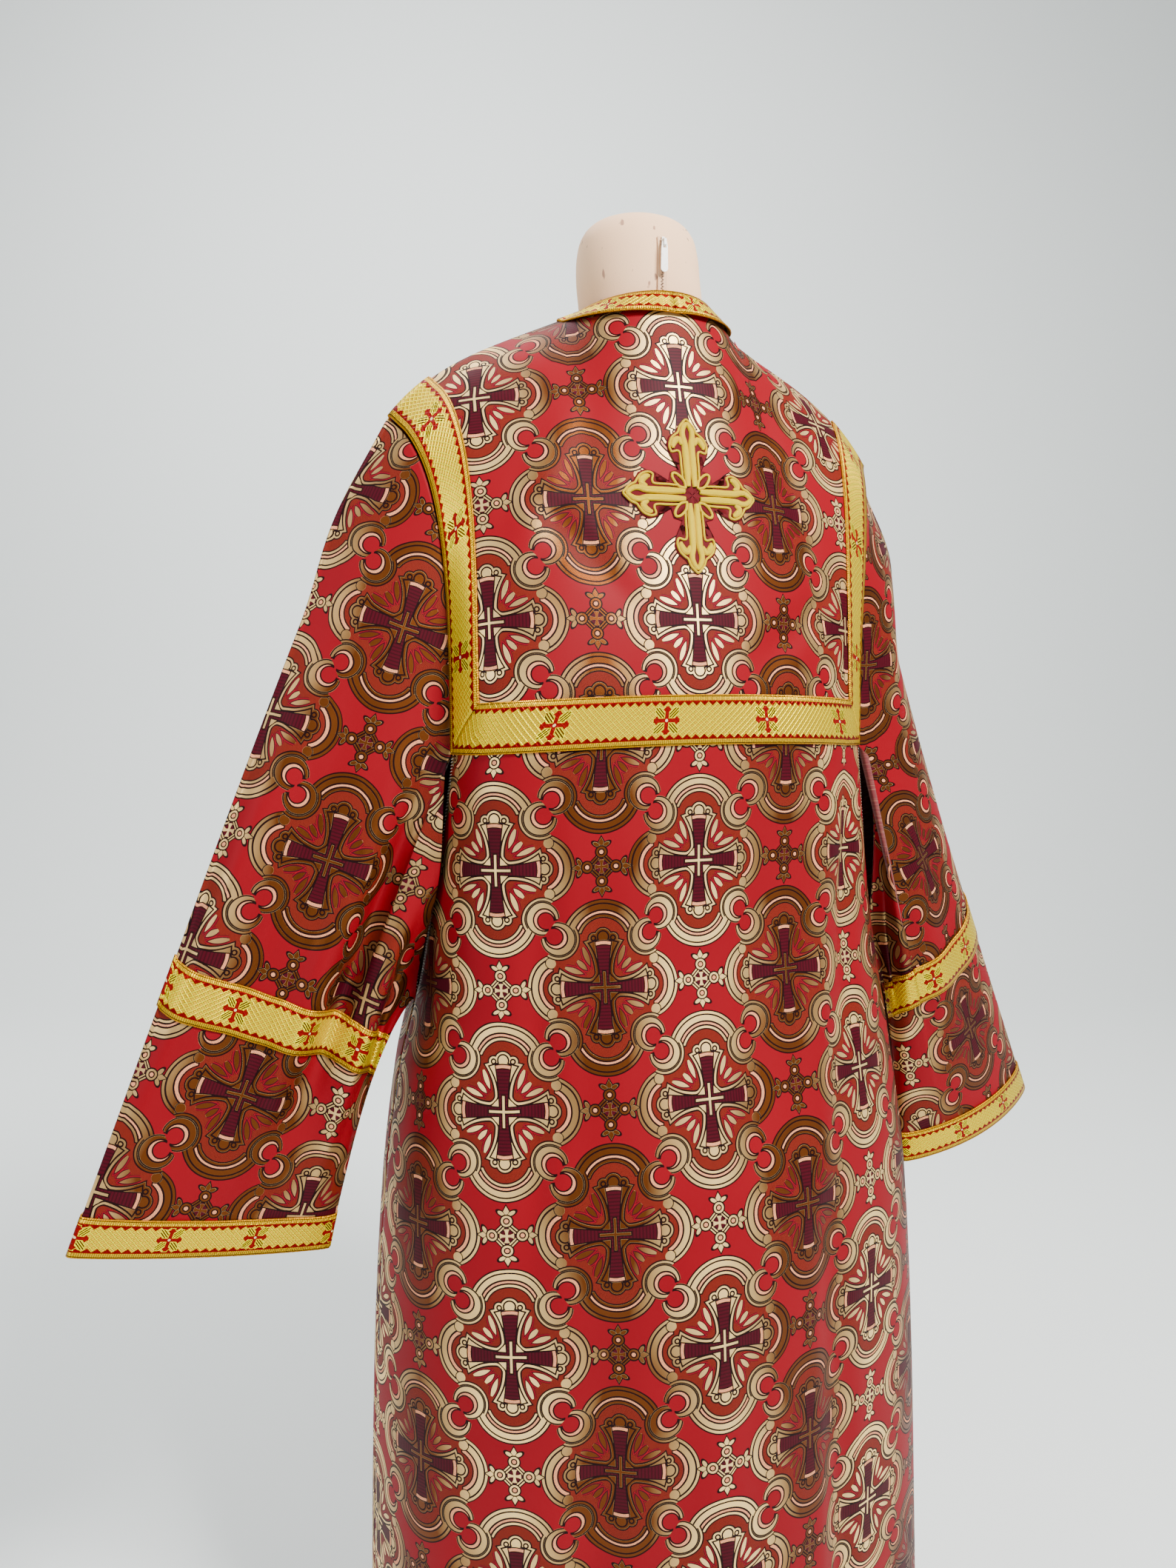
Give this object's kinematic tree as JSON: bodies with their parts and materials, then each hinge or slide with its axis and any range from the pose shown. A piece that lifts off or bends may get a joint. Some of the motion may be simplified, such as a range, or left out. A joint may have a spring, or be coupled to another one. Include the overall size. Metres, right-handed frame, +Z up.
{
  "type": "sticharion on a dress form",
  "caption": "Long vestment of red brocade with wide sleeves and gold galloon, on a limbless dress form with a pole and a round base.",
  "frame": {"origin": "on the floor, under the middle of the whole object's box", "axes": "+Z up, the wearer faces -Y, the wearer's left is +X"},
  "size_m": [1.075, 0.4338, 1.534],
  "materials": {
    "brocade": "red satin ground with woven gold, salmon and burgundy medallions",
    "galloon": "woven gold trim with red edges, metallic sheen",
    "embroidery": "satin-stitched gold thread on a burgundy ground",
    "form_cover": "matte beige knitted cover",
    "stand": "dark powder coat",
    "zip": "off-white zip and pull tab"
  },
  "bodies": {
    "vestment": {"back_panel": "brocade", "front_panel": "brocade", "sleeve_left": "brocade", "sleeve_right": "brocade", "collar_band": "galloon", "yoke_band_back": "galloon", "yoke_band_front": "galloon", "shoulder_band_left": "galloon", "shoulder_band_right": "galloon", "armband_left": "galloon", "armband_right": "galloon", "cuff_band_left": "galloon", "cuff_band_right": "galloon", "back_cross": "embroidery", "form_body": "form_cover", "form_pole": "stand", "form_base": "stand", "form_zip": "zip", "zip_slider": "zip"},
    "pull_tab": {"zip_pull": "zip"}
  },
  "joints": [
    {"name": "pull_tab_swing", "type": "hinge", "parent": "vestment", "child": "pull_tab", "pos_m": [-0.00402, 0.05808, 1.493], "axis": [1, 0, 0], "range_deg": [0, 150]}
  ]
}
